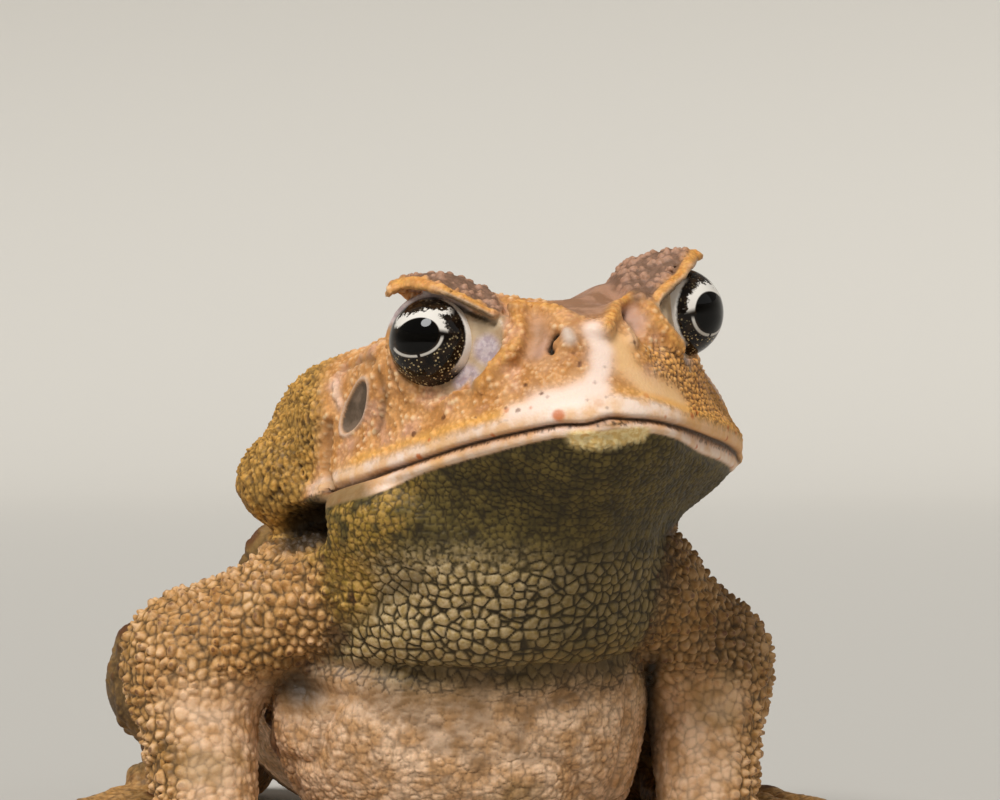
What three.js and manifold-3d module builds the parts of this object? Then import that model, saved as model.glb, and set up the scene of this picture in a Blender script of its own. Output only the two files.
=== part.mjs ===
// A cane toad at life size, sitting up: the rump and hind feet rest on the floor, the hind
// legs are folded at the sides, the fore legs stand almost straight, and the head is turned
// a little to the toad's left, tipped up and rolled. Millimetres, +Z up, the toad faces -Y
// and its left side is +X.
//
// The body is one rounded form. Each part has a distance field of its own, the fields are
// blended into the whole, and the whole is parted along the places that are equally near to
// two parts, with a thin gap. Every part is then wrapped by rays that leave a short axis
// inside it and stop at its surface.
import * as THREE from 'three';
import { mergeVertices } from 'three/addons/utils/BufferGeometryUtils.js';
import Module from 'manifold-3d';

// Driving dimensions
const GAP = 0.3;                                  // between two neighbouring parts
const PRESSED = { head: 0.1, lower: 0.1, neck: 0.5, trunk: 0.8, hand: 0.3, foot: 0.3, toe: 0.2 };
const ORIGIN = [0, 24.35, 0];                     // floor point under the middle of the toad
const LIP = [14.9, -42.1, 65];                    // middle of the upper lip's edge
const HEAD_TURN = { yaw: 7.5, pitch: -10.5, roll: -6 };
const MOUTH_CURVE = 26;                           // the mouth's outline is q = x * x / 26
const MOUTH_DEPTH = 41;                           // from the lip back to behind the mouth's corners
const SNOUT_HEIGHT = 20.4;                        // crown of the head above the mouth plane
const JAW_DEPTH = 13;                             // underside of the jaw below the mouth plane
const HEAD_LENGTH = 54;                           // from the lip back into the neck
const EYES = {                                    // centres in the head's frame, the right one mirrored
  right: [17.65, 18.4, 16.45],
  left: [17.95, 18.4, 17.2],
};
const EYE_RADIUS = 6.4;
const BROW = { centre: [15.5, 21.2, 19.5], radii: [9.3, 12, 9.5], yaw: -14, height: 26 };
const EAR = { centre: [28.2, 33.5, 11], thickness: 1.2, length: 3.2, height: 4.2 };
const RIDGE = { width: 1.6, height: 1.6 };        // the bony ridges round the eye and on the snout
const BELLY = [
  { centre: [2, 6, 44], radii: [27, 22, 22], pitch: 0, blend: 12 },
  { centre: [0, 32, 31], radii: [37, 38, 30.5], pitch: -14, blend: 12 },
  { centre: [-1, 64, 21], radii: [31, 26, 22], pitch: 0, blend: 12 },
  { centre: [0, -1, 24], radii: [28, 17, 24], pitch: 0, blend: 8 },
];
const THROAT = [
  { centre: [4.5, -12, 47], radii: [21, 18, 15], pitch: 0, blend: 5 },
  { centre: [4, -9, 37], radii: [22, 15, 8], pitch: 0, blend: 5 },
];
const PAROTOID = {
  right: { centre: [-22.3, 8, 59.6], radii: [8.5, 16, 12] },
  left: { centre: [23, 12, 64], radii: [9, 16, 11] },
};
const PAROTOID_TURN = { yaw: -16, pitch: -34, roll: -22 };
const FORE_LEG = {
  right: { shoulder: [-17, -5, 42], elbow: [-39.5, 2.8, 30], wrist: [-37.2, -7.5, 6] },
  left: { shoulder: [25.5, -3, 43], elbow: [36, 5.6, 28], wrist: [34.9, -4.3, 6] },
};
const ARM_RADII = { shoulder: 9.5, elbow: 8.6, wrist: 6.6 };
const PALM = { reach: 7, height: 3.4, radii: [7.5, 8.5, 4.2] };
const FINGER = { base: 2.6, tip: 1.8, lift: 1.5 };
const FINGERTIPS = [[-15, -12], [-10, -23], [-2, -28], [7, -22]];   // from the wrist, inner first
const HIND_LEG = { hip: [14, 74, 25], knee: [42, 38, 24], heel: [30, 84, 6.5], instep: [44, 60, 4.6] };
const JOINT = 0.6;                                // the lower bone of an elbow, knee or heel is this much fuller
const LEG_RADII = { hip: 14, knee: 9.5, heel: 6, instep: 5 };
const TOE = { base: 3, tip: 1.7, lift: 1.4, first: [39, 60], spread: [2.6, -1] };
const TOE_TIPS = [[41, 43], [46, 33], [53, 24], [62, 15], [66, 33]];   // inner first

// Small maths on points held as [x, y, z]
const add = (a, b) => [a[0] + b[0], a[1] + b[1], a[2] + b[2]];
const sub = (a, b) => [a[0] - b[0], a[1] - b[1], a[2] - b[2]];
const scale = (a, k) => [a[0] * k, a[1] * k, a[2] * k];
const dot = (a, b) => a[0] * b[0] + a[1] * b[1] + a[2] * b[2];
const length = (a) => Math.hypot(a[0], a[1], a[2]);
const unit = (a) => scale(a, 1 / length(a));
const mirror = (a, side) => [a[0] * side, a[1], a[2]];
const SIDES = { right: -1, left: 1 };

function turned({ yaw = 0, pitch = 0, roll = 0 }) {
  const angles = [pitch, roll, yaw].map((angle) => THREE.MathUtils.degToRad(angle));
  return new THREE.Matrix4().makeRotationFromEuler(new THREE.Euler(...angles, 'ZXY'));
}

// a point seen in a turned frame, and back again
function into(turn, p) {
  const e = turn.elements;
  return [dot(p, [e[0], e[1], e[2]]), dot(p, [e[4], e[5], e[6]]), dot(p, [e[8], e[9], e[10]])];
}

function outOf(turn, p) {
  return new THREE.Vector3(...p).applyMatrix4(turn).toArray();
}

// Two distances joined smoothly, over a width k
function union(a, b, k) {
  const h = THREE.MathUtils.clamp(0.5 + 0.5 * (b - a) / k, 0, 1);
  return b * (1 - h) + a * h - k * h * (1 - h);
}

const common = (a, b, k) => -union(-a, -b, k);

// Distance fields: below zero inside, near to millimetres outside
function blob(centre, radii, turn = new THREE.Matrix4()) {
  return (p) => {
    const q = into(turn, sub(p, centre));
    const near = Math.hypot(q[0] / radii[0], q[1] / radii[1], q[2] / radii[2]);
    const slope = Math.hypot(q[0] / radii[0] ** 2, q[1] / radii[1] ** 2, q[2] / radii[2] ** 2);
    return near * (near - 1) / Math.max(slope, 1e-9);
  };
}

function bone(a, b, ra, rb) {
  const ab = sub(b, a);
  return (p) => {
    const t = THREE.MathUtils.clamp(dot(sub(p, a), ab) / dot(ab, ab), 0, 1);
    return length(sub(p, add(a, scale(ab, t)))) - THREE.MathUtils.lerp(ra, rb, t);
  };
}

function masses(list) {
  const fields = list.map((m) => blob(m.centre, m.radii, turned(m)));
  return (p) => fields.reduce((d, field, i) => (i ? union(d, field(p), list[i].blend) : field(p)), 0);
}

// a raised line through points, 1 on the line and fading over its width
function ridge(points, width) {
  const lines = points.slice(1).map((b, i) => bone(points[i], b, 0, 0));
  return (p) => Math.exp(-((Math.min(...lines.map((line) => line(p))) / width) ** 2));
}

// The head, in a frame of its own: x to the side, q back from the lip, z up from the mouth
const headFrame = turned(HEAD_TURN);
const inHead = (p) => into(headFrame, sub(p, LIP));
const fromHead = (m) => add(outOf(headFrame, m), LIP);
const brow = blob(BROW.centre, BROW.radii, turned(BROW));
const junction = [10, 12.2, 17.6];                // where the three ridges meet before the eye
const crest = ridge([junction, [13.3, 11.6, 19.8], [16.8, 13, 22.6], [20, 16, 24.6],
  [22, 19.5, 25], [21.8, 24.5, 23.2], [21, 29.5, 18.4]], RIDGE.width);
const canthus = ridge([junction, [6, 6.5, 15.6], [1.5, 1.5, 13.4]], RIDGE.width);
const preocular = ridge([junction, [12, 10.5, 13], [16, 11, 8.5]], RIDGE.width);
const trough = ridge([[0, 10, 17], [0, 34, 21]], 5);

function mouthOutline(x, q) {
  return x * x / MOUTH_CURVE - union(q, MOUTH_DEPTH - 0.35 * (q - MOUTH_DEPTH + 1), 6);
}

function upperHead(p) {
  const [side, q, z] = inHead(p);
  const m = [Math.abs(side), q, z];
  const up = Math.max(z, 0) / SNOUT_HEIGHT;
  const slope = 0.26 + 5.5 * up ** 7;
  const front = mouthOutline(m[0], q) + 0.26 * z + 14 * up ** 8;
  let d = front / Math.hypot(m[0] / 13, 1, slope);
  d -= 0.7 * Math.exp(-(((z - 2.2) / 2.2) ** 2));
  d = common(d, -z, 1.8);
  d = common(d, q - HEAD_LENGTH, 14);
  const roof = dot(sub(m, [21.8, 19.5, BROW.height]), [-0.06, 0.1, 0.99]);
  d = union(d, common(brow(m), roof, 2.5), 3);
  d += 1.2 * trough(m);
  return d - RIDGE.height * Math.max(crest(m), canthus(m), preocular(m));
}

function lowerJaw(p) {
  const [side, q, z] = inHead(p);
  const down = Math.max(-z, 0);
  const x = Math.abs(side) * (1 + 0.0036 * down * down);
  const under = 9.6 * (down / JAW_DEPTH) ** 3;
  const slope = 0.5 + 2.2 * (down / JAW_DEPTH) ** 2;
  let d = (mouthOutline(x, q) + 0.6 + 0.5 * down + under) / Math.hypot(x / 13, 1, slope);
  d = common(d, z + 0.1, 1.5);
  return common(d, q - HEAD_LENGTH + 4, 10);
}

// Every part's own field, and the axis that its rays leave from
const parts = {};

function part(name, field, from, to, rings, around, caps = 3, across = undefined) {
  parts[name] = { field, from, to, rings, around, caps, across };
}

// both jaws are wrapped from the mouth plane, so that their rims stay even
const sideways = outOf(headFrame, [1, 0, 0]);
part('head', upperHead, fromHead([0, 17, 1]), fromHead([0, 36, 1]), 6, 34, 6, sideways);
part('lower_jaw', lowerJaw, fromHead([0, 16, -1.1]), fromHead([0, 36, -1.1]), 4, 22, 4, sideways);
part('neck', masses(THROAT), [4, -14, 44], [4, -7, 44], 2, 20, 4);
part('trunk', masses(BELLY), [0, 4, 32], [0, 62, 24], 8, 28, 5);
for (const [name, side] of Object.entries(SIDES)) {
  const gland = PAROTOID[name];
  const turn = turned({ yaw: PAROTOID_TURN.yaw * side, pitch: PAROTOID_TURN.pitch,
    roll: PAROTOID_TURN.roll * side });
  const lengthwise = outOf(turn, [0, 7, 0]);
  part(`parotoid_${name}`, blob(gland.centre, gland.radii, turn),
    sub(gland.centre, lengthwise), add(gland.centre, lengthwise), 3, 12, 3);

  const { shoulder, elbow, wrist } = FORE_LEG[name];
  const palm = [wrist[0] - side, wrist[1] - PALM.reach, PALM.height];
  part(`upper_arm_${name}`, bone(shoulder, elbow, ARM_RADII.shoulder, ARM_RADII.elbow),
    shoulder, elbow, 2, 12, 2);
  part(`forearm_${name}`, bone(elbow, wrist, ARM_RADII.elbow + JOINT, ARM_RADII.wrist),
    elbow, wrist, 2, 12, 2);
  part(`hand_${name}`, blob(palm, PALM.radii), add(palm, [0, 2, 0]), sub(palm, [0, 2, 0]), 1, 12, 3);
  FINGERTIPS.forEach(([dx, dy], i) => {
    const root = [palm[0] + 0.3 * side * dx, palm[1] - 2, 2.2];
    const tip = [wrist[0] + side * dx, wrist[1] + dy, FINGER.lift];
    part(`finger_${name}_${i + 1}`, bone(root, tip, FINGER.base, FINGER.tip), root, tip, 2, 7, 1);
  });

  const [hip, knee, heel, instep] = Object.values(HIND_LEG).map((p) => mirror(p, side));
  part(`thigh_${name}`, bone(hip, knee, LEG_RADII.hip, LEG_RADII.knee), hip, knee, 3, 12, 2);
  part(`shank_${name}`, bone(knee, heel, LEG_RADII.knee + JOINT, LEG_RADII.heel), knee, heel, 3, 10, 2);
  part(`foot_${name}`, bone(heel, instep, LEG_RADII.heel + JOINT, LEG_RADII.instep),
    heel, instep, 2, 10, 2);
  TOE_TIPS.forEach(([x, y], i) => {
    const root = mirror([TOE.first[0] + TOE.spread[0] * i, TOE.first[1] + TOE.spread[1] * i, 2.4], side);
    const tip = mirror([x, y, TOE.lift], side);
    part(`toe_${name}_${i + 1}`, bone(root, tip, TOE.base, TOE.tip), root, tip, 3, 7, 1);
  });
}

// The whole body: limbs join limbs first, then the trunk, and the head comes last
function fused(names, k) {
  const fields = names.map((name) => parts[name].field);
  return (p) => fields.reduce((d, field, i) => (i ? union(d, field(p), k) : field(p)), 0);
}

const digits = (kind, side, count) => Array.from({ length: count }, (_, i) => `${kind}_${side}_${i + 1}`);
const limbs = Object.keys(SIDES).map((side) => {
  const arm = fused([`upper_arm_${side}`, `forearm_${side}`], 5);
  const hand = fused([`hand_${side}`, ...digits('finger', side, 4)], 1.2);
  const leg = fused([`thigh_${side}`, `shank_${side}`, `foot_${side}`, ...digits('toe', side, 5)], 2);
  return { gland: parts[`parotoid_${side}`].field, arm: (p) => union(arm(p), hand(p), 3), leg };
});

function body(p) {
  let d = union(parts.trunk.field(p), parts.neck.field(p), 8);
  const armpit = 2 + 5 * THREE.MathUtils.clamp((p[2] - 26) / 16, 0, 1);
  for (const { gland, arm, leg } of limbs) {
    d = union(d, gland(p), 2);
    d = union(d, arm(p), armpit);
    d = union(d, leg(p), 2.5);
  }
  d = union(d, union(upperHead(p), lowerJaw(p), 0.3), 7);
  return Math.max(d, -p[2]);
}

// How far p lies beyond the place that is equally near to this part and to the nearest other
function beyond(name) {
  const own = parts[name].field;
  const others = Object.keys(parts).filter((other) => other !== name).map((other) => parts[other].field);
  const lead = (p) => own(p) - Math.min(...others.map((field) => field(p)));
  return (p) => {
    const d = lead(p);
    if (Math.abs(d) > 6) return d / 2;
    const h = 0.05;
    const slope = length([[h, 0, 0], [0, h, 0], [0, 0, h]].map((step) => (lead(add(p, step)) - d) / h));
    return d / Math.max(slope, 0.4);
  };
}

// Round neighbours that press into a part's flat facets: it is cut clear of them by the gap
const seats = { head: [], lower_jaw: ['neck'], neck: [], trunk: [] };
for (const side of Object.keys(SIDES)) {
  seats.head.push(`parotoid_${side}`);
  seats.neck.push(`upper_arm_${side}`);
  seats.trunk.push(`upper_arm_${side}`, `thigh_${side}`);
  seats[`thigh_${side}`] = [`shank_${side}`];
  seats[`shank_${side}`] = [`foot_${side}`];
  seats[`toe_${side}_4`] = [`toe_${side}_5`];
}

// Wraps a part: rays fan out round both ends of its axis and stand square to it between them
function wrap(name, grown = 0) {
  const { from, to, rings, around, caps } = parts[name];
  const apart = beyond(name);
  const clearance = GAP / 2 + (PRESSED[name.split('_')[0]] ?? 0.1);
  const field = (p) => Math.max(body(p), apart(p) + clearance) - grown;
  const axis = unit(sub(to, from));
  const level = new THREE.Vector3(...axis).cross(new THREE.Vector3(0, 0, 1)).toArray();
  const across = parts[name].across ?? unit(level);
  const upward = new THREE.Vector3(...across).cross(new THREE.Vector3(...axis)).toArray();

  // the axis is drawn in until both of its ends lie inside the part
  const inside = [];
  for (let t = 0; t <= 1.0001; t += 0.02) {
    if (field(add(from, scale(sub(to, from), t))) < -0.2) inside.push(t);
  }
  if (!inside.length) throw new Error(`${name} has no room for its axis`);
  const along = (t) => add(from, scale(sub(to, from), THREE.MathUtils.lerp(inside[0], inside.at(-1), t)));

  const reach = (start, direction) => {
    let low = 0;
    let high = 0.25;
    while (field(add(start, scale(direction, high))) < 0) {
      low = high;
      high += 0.5;
    }
    for (let i = 0; i < 20; i += 1) {
      const middle = (low + high) / 2;
      if (field(add(start, scale(direction, middle))) < 0) low = middle;
      else high = middle;
    }
    const hit = add(start, scale(direction, low));
    return [hit[0], hit[1], Math.abs(hit[2]) < 0.02 ? 0 : hit[2]];
  };

  const positions = [...reach(along(0), scale(axis, -1))];
  const ring = (start, lean) => {
    for (let i = 0; i < around; i += 1) {
      const angle = 2 * Math.PI * i / around;
      const radial = add(scale(across, Math.cos(angle)), scale(upward, Math.sin(angle)));
      positions.push(...reach(start, add(scale(radial, Math.cos(lean)), scale(axis, Math.sin(lean)))));
    }
  };
  for (let i = 1; i <= caps; i += 1) ring(along(0), -Math.PI / 2 * (1 - i / (caps + 1)));
  for (let i = 0; i <= rings; i += 1) ring(along(i / rings), 0);
  for (let i = 1; i <= caps; i += 1) ring(along(1), Math.PI / 2 * i / (caps + 1));
  positions.push(...reach(along(1), axis));

  const rows = 2 * caps + rings + 1;
  const last = rows * around + 1;
  const index = [];
  for (let i = 0; i < around; i += 1) {
    const next = (i + 1) % around;
    index.push(0, 1 + i, 1 + next);
    for (let row = 0; row < rows - 1; row += 1) {
      const a = 1 + row * around;
      const b = a + around;
      index.push(a + i, b + next, a + next, a + i, b + i, b + next);
    }
    index.push(last, last - around + next, last - around + i);
  }
  const geometry = new THREE.BufferGeometry();
  geometry.setAttribute('position', new THREE.Float32BufferAttribute(positions, 3));
  geometry.setIndex(index);
  return geometry;
}

// Solids for cutting: the head gets its eye sockets and the seats of the ear drums
const wasm = await Module();
wasm.setup();

function solid(geometry) {
  const bare = geometry.clone();
  bare.deleteAttribute('normal');
  bare.deleteAttribute('uv');
  const merged = mergeVertices(bare, 1e-4);
  return new wasm.Manifold(new wasm.Mesh({
    numProp: 3,
    vertProperties: new Float32Array(merged.attributes.position.array),
    triVerts: new Uint32Array(merged.index.array),
  }));
}

function shape(cut) {
  const { vertProperties, triVerts } = cut.getMesh();
  const geometry = new THREE.BufferGeometry();
  geometry.setAttribute('position', new THREE.Float32BufferAttribute(vertProperties, 3));
  geometry.setIndex([...triVerts]);
  return geometry;
}

function eyeball(side, grown = 0) {
  const ball = new THREE.SphereGeometry(EYE_RADIUS + grown, 14, 9);
  return ball.translate(...fromHead(mirror(EYES[side < 0 ? 'right' : 'left'], side)));
}

function earDrum(side, grown = 0) {
  const disc = new THREE.SphereGeometry(1, 10, 6);
  disc.scale(EAR.thickness + grown, EAR.length + grown, EAR.height + grown);
  disc.applyMatrix4(turned({ yaw: -25 * side }));
  disc.translate(...mirror(EAR.centre, side));
  disc.applyMatrix4(headFrame);
  return disc.translate(...LIP);
}

// Colours of the living toad, one finish for each kind of part
const finishes = {
  skin: { color: 0xa9773f, roughness: 0.62 },
  lip: { color: 0xd9a878, roughness: 0.5 },
  throat: { color: 0x6b6236, roughness: 0.7 },
  gland: { color: 0xb5873f, roughness: 0.65 },
  eye: { color: 0x15110d, roughness: 0.08 },
  drum: { color: 0x7d7364, roughness: 0.55 },
};
const finishOf = { head: 'skin', lower_jaw: 'lip', neck: 'throat' };

const toad = new THREE.Group();

function place(name, geometry, finish) {
  const mesh = new THREE.Mesh(geometry, new THREE.MeshStandardMaterial({ metalness: 0, ...finishes[finish] }));
  mesh.name = name;
  toad.add(mesh);
}

for (const name of Object.keys(parts)) {
  let geometry = wrap(name);
  if (seats[name]) {
    let cut = solid(geometry);
    for (const neighbour of seats[name]) cut = cut.subtract(solid(wrap(neighbour, GAP)));
    if (name === 'head') {
      for (const side of Object.values(SIDES)) {
        cut = cut.subtract(solid(eyeball(side, GAP))).subtract(solid(earDrum(side, GAP)));
      }
    }
    geometry = shape(cut);
  }
  const finish = name.startsWith('parotoid') ? 'gland' : finishOf[name] ?? 'skin';
  place(name, geometry, finish);
}
for (const [name, side] of Object.entries(SIDES)) {
  place(`eye_${name}`, eyeball(side), 'eye');
  place(`tympanum_${name}`, earDrum(side), 'drum');
}

toad.position.set(...scale(ORIGIN, -1));
export default toad;
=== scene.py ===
# A cane toad at life size, sitting up, its head turned a little to its left, tipped up and rolled.
from itertools import product
from math import cos, radians, sin

import bpy
import numpy as np
from mathutils import Matrix, Vector


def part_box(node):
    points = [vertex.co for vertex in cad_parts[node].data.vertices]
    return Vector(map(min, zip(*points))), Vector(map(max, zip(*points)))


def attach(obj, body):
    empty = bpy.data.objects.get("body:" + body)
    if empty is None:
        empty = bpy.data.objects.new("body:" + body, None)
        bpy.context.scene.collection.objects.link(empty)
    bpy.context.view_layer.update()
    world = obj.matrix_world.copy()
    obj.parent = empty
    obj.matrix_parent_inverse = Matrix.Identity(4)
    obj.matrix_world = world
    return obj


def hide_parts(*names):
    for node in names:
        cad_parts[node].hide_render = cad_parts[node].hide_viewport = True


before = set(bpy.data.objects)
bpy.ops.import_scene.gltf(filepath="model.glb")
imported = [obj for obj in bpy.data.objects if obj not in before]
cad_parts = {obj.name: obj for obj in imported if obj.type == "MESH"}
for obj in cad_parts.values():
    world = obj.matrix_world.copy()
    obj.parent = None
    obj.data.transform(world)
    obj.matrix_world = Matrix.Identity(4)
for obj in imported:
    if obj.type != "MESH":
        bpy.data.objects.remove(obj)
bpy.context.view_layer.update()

# The skin
# One hide covers the whole toad: thin and smooth on the lips, lids and ear drums, thick, dry and
# warty elsewhere, with a large poison gland behind each eye. It lies close on the flesh, so its
# form is the body's own: rounded masses blended into one another.

# lengths are millimetres, with the toad facing -y and its left side at +x
ORIGIN = np.array([0, 24.35, 0])       # the floor point under the middle of the toad
SIDES = {"right": -1, "left": 1}
REACH = 14                             # a part is worked out only this near to its own points


def turned(yaw=0, pitch=0, roll=0):
    turn = Matrix.Rotation(radians(yaw), 3, "Z") @ Matrix.Rotation(radians(pitch), 3, "X")
    return np.array(turn @ Matrix.Rotation(radians(roll), 3, "Y"))


def union(a, b, k):
    """Two distances joined smoothly over a width k."""
    h = np.clip(0.5 + 0.5 * (b - a) / k, 0, 1)
    return b * (1 - h) + a * h - k * h * (1 - h)


def common(a, b, k):
    return -union(-a, -b, k)


def off(p, centre, radii=1):
    """How far off a centre each place is, as a share of the radii."""
    return np.linalg.norm((p - np.array(centre)) / radii, axis=1)


def blob(p, centre, radii, turn=np.eye(3)):
    """Distance to an egg-shaped mass: below zero inside it."""
    q = (p - np.array(centre)) @ turn / radii
    near = np.linalg.norm(q, axis=1)
    slope = np.linalg.norm(q / radii, axis=1)
    return near * (near - 1) / np.maximum(slope, 1e-9)


def bone(p, a, b, ra, rb):
    """Distance to a limb that tapers from radius ra at a to rb at b."""
    a, b = np.array(a, float), np.array(b, float)
    t = np.clip((p - a) @ (b - a) / max((b - a) @ (b - a), 1e-9), 0, 1)
    return np.linalg.norm(p - a - t[:, None] * (b - a), axis=1) - (ra + (rb - ra) * t)


def line(p, points):
    """Distance to a line through points."""
    return np.min([bone(p, a, b, 0, 0) for a, b in zip(points[:-1], points[1:])], axis=0)


def bell(x, width=1):
    """1 at zero, falling off on both sides over a width."""
    return np.exp(-((x / width) ** 2))


def stroke(p, points, width):
    """1 on a line through points, falling off over its width."""
    return bell(line(p, points), width)


def fade(x, start, end):
    """0 at start and 1 at end, smooth between them."""
    t = np.clip((x - start) / (end - start), 0, 1)
    return t * t * (3 - 2 * t)


def joined(p, d, field, points, k):
    """d with a part's own distance field joined to it, worked out only round the part's points."""
    close = np.all((p > np.min(points, 0) - REACH) & (p < np.max(points, 0) + REACH), axis=1)
    out = d.copy()
    out[close] = union(d[close], field(p[close]), k(p[close]) if callable(k) else k)
    return out


# the head has a frame of its own: x to the side, q back from the lip, z up from the mouth
LIP = np.array([14.9, -42.1, 65])      # middle of the upper lip's edge
HEAD_TURN = turned(yaw=7.5, pitch=-10.5, roll=-6)
MOUTH_CURVE = 26                       # the mouth's outline is q = x * x / 26
MOUTH_DEPTH = 41                       # from the lip back to behind the mouth's corners
SNOUT_HEIGHT = 20.4
SNOUT_LEAN = 0.26                      # how much the snout's sides lean back for each millimetre up
JAW_DEPTH = 13
JAW_NARROWING = {-1: 0.0036, 1: 0.009}
HEAD_LENGTH = 54
FOREHEAD = ((0, 22, 11), (15, 12, 14))
JOWL = ((-27.6, 29.5, -5.4), (4.6, 8.2, 4.8), turned(yaw=35))

# eyes, lids and brows: -1 is the right side's and 1 the left one's, each laid on the left side
EYES = {-1: np.array([17.65, 18.4, 16.45]), 1: np.array([17.95, 18.4, 17.2])}
LID = dict(thickness=0.6, opening={-1: 76, 1: 84}, lift=-3, yaw={-1: 36, 1: 56})
LID_PLANE = {-1: ((0.6, -0.7, 0.38), 1.6), 1: ((0.52, -0.83, 0.19), 3.9)}    # bounds the bare lid field
LID_REACH = {-1: 3.3, 1: 2.3}          # how much further the lid field reaches before the eye
SNOUTWARD = np.array([-0.62, -0.78, 0.1])
BROW = ((17, 20.5, 18.5), (7.8, 13, 11.3), turned(yaw=-14))
BROW_TOP = [(0, 20.2), (2.5, 20.5), (5, 21.3), (7, 22.5), (8.5, 23.4), (11, 24.2), (12.5, 25.3),
            (14.5, 26.1), (18, 26.5), (21, 26), (23, 25.4)]
TEMPLE = ((20.5, 30, 13), (5.5, 8, 6.8))          # a swelling over the right ear drum
EYE_CORNER = ((25, 26.5, 22.2), (7, 7, 3.3))      # a hollow under the brow's back end

# bony ridges of each side: over the eye, along the snout, down in front of the eye
CREST = {-1: [(-21.9, 18.2, 25.1), (-21.2, 17.2, 25.1), (-20, 16.3, 24.8), (-18.4, 14.4, 23.7),
              (-16.7, 12.6, 22.4), (-14.6, 11.6, 20.8), (-12.9, 10.7, 19.4), (-11.4, 10.5, 18.2)],
         1: [(22, 18.6, 25.6), (20.6, 16, 24.3), (19.1, 13.6, 23.1), (17.2, 12, 21.3),
             (15.4, 11.8, 20.1), (13.3, 10.5, 18.6), (12.2, 10, 17.5)]}
CANTHUS = {-1: [(-8.3, 9.2, 19.2), (-5.5, 10, 18.9), (-4.1, 8.9, 18), (-2.6, 7.4, 16.8),
                (-1.5, 5.4, 15.3), (-0.7, 4.3, 14), (0.9, 3.7, 13.8), (2.2, 2.8, 13.6)],
           1: [(2.2, 2.8, 13.6), (3.8, 4.7, 15.2), (6.1, 8.7, 17.3), (8, 10, 18.4), (9.9, 11, 18.5)]}
PREOCULAR = {-1: [(-7.8, 9.3, 18.4), (-8.1, 8.3, 16.3), (-8.4, 7.7, 14.3), (-9.5, 7.2, 12.9),
                  (-11.8, 7.9, 11), (-14.3, 10, 8.8)],
             1: [(9.9, 11, 18.5), (10.5, 9.1, 16.8), (11.1, 8.5, 14.7), (13.4, 8.8, 11.9),
                 (14.4, 9.4, 10.8)]}
RIDGES = ((CANTHUS, 1.3, 1.2), (PREOCULAR, 1.3, 1.2), (CREST, 0.9, 0.7))     # with widths and heights


def eye_corners(name):
    return [np.array(corner) * 1000 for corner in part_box(f"eye_{name}")]


EYE_RADIUS = np.ptp(eye_corners("left"), axis=0)[1] / 2


def in_head(p):
    return (p - LIP) @ HEAD_TURN


def mirrored(h):
    """Both sides of the head laid on its left one."""
    return np.column_stack([np.abs(h[:, 0]), h[:, 1:]])


def by_side(h, values):
    """A value for the right side and one for the left, each on its own side."""
    return np.where(h[:, 0] < 0, values[-1], values[1])


def mouth_outline(x, q):
    return x**2 / MOUTH_CURVE - union(q, MOUTH_DEPTH - 0.35 * (q - MOUTH_DEPTH + 1), 6)


def from_eye(h):
    """The way from the nearer eye's centre."""
    return mirrored(h) - np.where(h[:, :1] < 0, EYES[-1], EYES[1])


def lid_angle(h):
    """The angle in degrees off the middle of the lids' opening, and the distance from the eye's centre."""
    e = from_eye(h)
    away = np.maximum(np.linalg.norm(e, axis=1), 1e-6)
    yaw = np.radians(by_side(h, LID["yaw"]))
    lift = radians(LID["lift"])
    along = (e[:, 0] * np.sin(yaw) - e[:, 1] * np.cos(yaw)) * cos(lift) + e[:, 2] * sin(lift)
    return np.degrees(np.arccos(np.clip(along / away, -1, 1))), away


def crest_edge(h):
    """How far back and how high the crest over the nearer eye runs, as far from the middle as h."""
    routes = {side: np.array(sorted(np.abs(route).tolist())).T for side, route in CREST.items()}
    return [by_side(h, {side: np.interp(np.abs(h[:, 0]), route[0], route[i])
                        for side, route in routes.items()}) for i in (1, 2)]


def sagging(h):
    """The mouth hangs lower on the left side: h in a frame that follows it."""
    x, q, z = h.T
    sag = 2.2 * fade(x, 2, 20) - 0.6 * fade(x, -1, -8) * fade(x, -28, -16)
    return np.column_stack([x, q, z + sag * fade(z, 9, 2)])


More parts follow.
